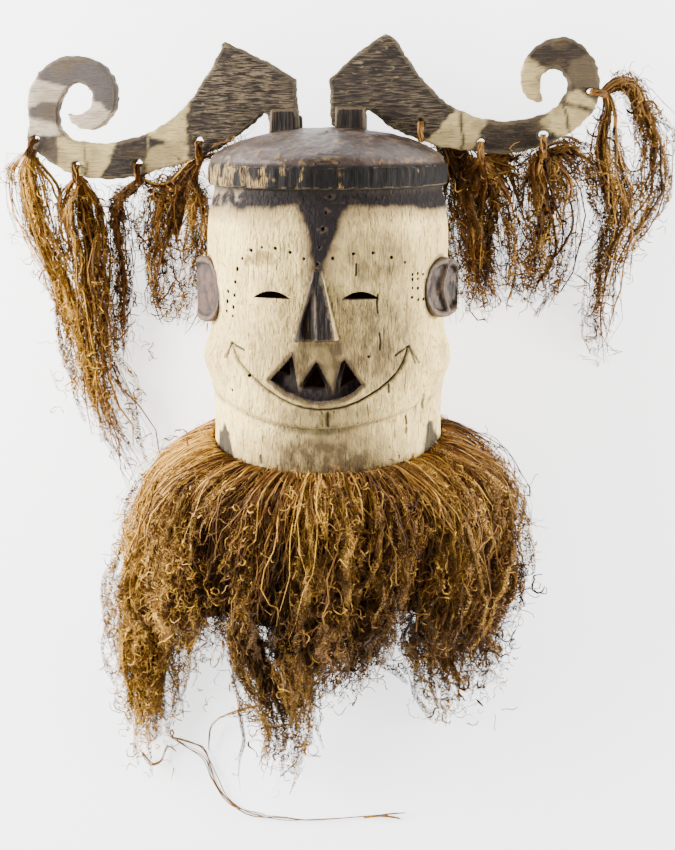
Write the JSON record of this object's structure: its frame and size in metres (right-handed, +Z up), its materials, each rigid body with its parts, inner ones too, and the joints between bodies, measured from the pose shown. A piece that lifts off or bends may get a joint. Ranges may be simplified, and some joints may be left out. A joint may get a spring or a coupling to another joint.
{
  "type": "fang helmet mask",
  "caption": "Carved wooden helmet mask lying on its back, with a painted face, two curled horn boards, raffia tufts and a raffia skirt round the neck.",
  "frame": {"origin": "on the floor under the middle of the whole mask as it lies on its back", "axes": "+Z up, out of the face; +Y from the neck towards the horns; +X to the right of someone who looks down at the face"},
  "size_m": [0.6832, 0.8742, 0.2962],
  "materials": {
    "painted_wood": "cream and brown-black earth paint on carved wood, worn and grained",
    "horn_wood": "weathered bare and painted boards with open grain",
    "tuft_raffia": "loose crinkled orange-brown raffia",
    "skirt_raffia": "dense golden-brown raffia"
  },
  "bodies": {
    "root": {"helmet": "painted_wood", "horn_left": "horn_wood", "horn_right": "horn_wood", "tuft_left_1": "tuft_raffia", "tuft_left_2": "tuft_raffia", "tuft_left_3": "tuft_raffia", "tuft_left_4": "tuft_raffia", "tuft_right_1": "tuft_raffia", "tuft_right_2": "tuft_raffia", "tuft_right_3": "tuft_raffia", "tuft_right_4": "tuft_raffia", "collar": "skirt_raffia"}
  },
  "joints": []
}
